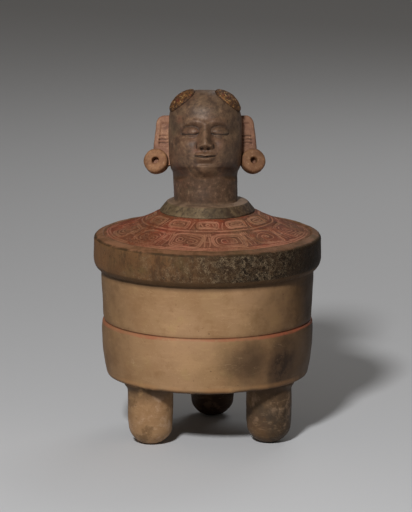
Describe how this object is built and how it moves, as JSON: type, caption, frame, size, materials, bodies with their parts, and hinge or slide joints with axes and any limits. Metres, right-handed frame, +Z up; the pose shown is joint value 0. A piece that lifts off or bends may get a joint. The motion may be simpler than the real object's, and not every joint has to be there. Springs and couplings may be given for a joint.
{
  "type": "lidded tripod vessel",
  "caption": "Fired clay cylinder on round-ended legs, with a capping domed lid whose handle is a modelled head with ear spools; the lid lifts off.",
  "frame": {"origin": "on the ground under the vessel's axis", "axes": "+Z up along the vessel's axis, -Y the way the face on the lid looks, +X to the viewer's right"},
  "size_m": [0.2082, 0.2082, 0.321],
  "materials": {
    "buff_clay": "satin",
    "dark_rim_clay": "matte",
    "red_slip": "matte",
    "brown_clay": "satin",
    "pink_clay": "matte",
    "orange_clay": "matte",
    "hair_clay": "matte"
  },
  "bodies": {
    "vessel": {"floor_slab": "buff_clay", "lower_wall": "buff_clay", "upper_wall": "buff_clay", "leg_front_left": "buff_clay", "leg_front_right": "buff_clay", "leg_rear": "buff_clay"},
    "lid": {"lid_rim": "dark_rim_clay", "lid_dome": "red_slip", "lid_collar": "brown_clay", "neck": "brown_clay", "head": "brown_clay", "nose": "brown_clay", "upper_lip": "brown_clay", "lower_lip": "brown_clay", "eyelid_left": "brown_clay", "eyelid_right": "brown_clay", "ear_panel_left": "pink_clay", "ear_panel_right": "pink_clay", "ear_spool_left": "orange_clay", "ear_spool_right": "orange_clay", "hair_patch_left": "hair_clay", "hair_patch_right": "hair_clay"}
  },
  "joints": [
    {"name": "lid_lift", "type": "slide", "parent": "vessel", "child": "lid", "axis": [0, 0, 1], "range_m": [0, 0.12]}
  ]
}
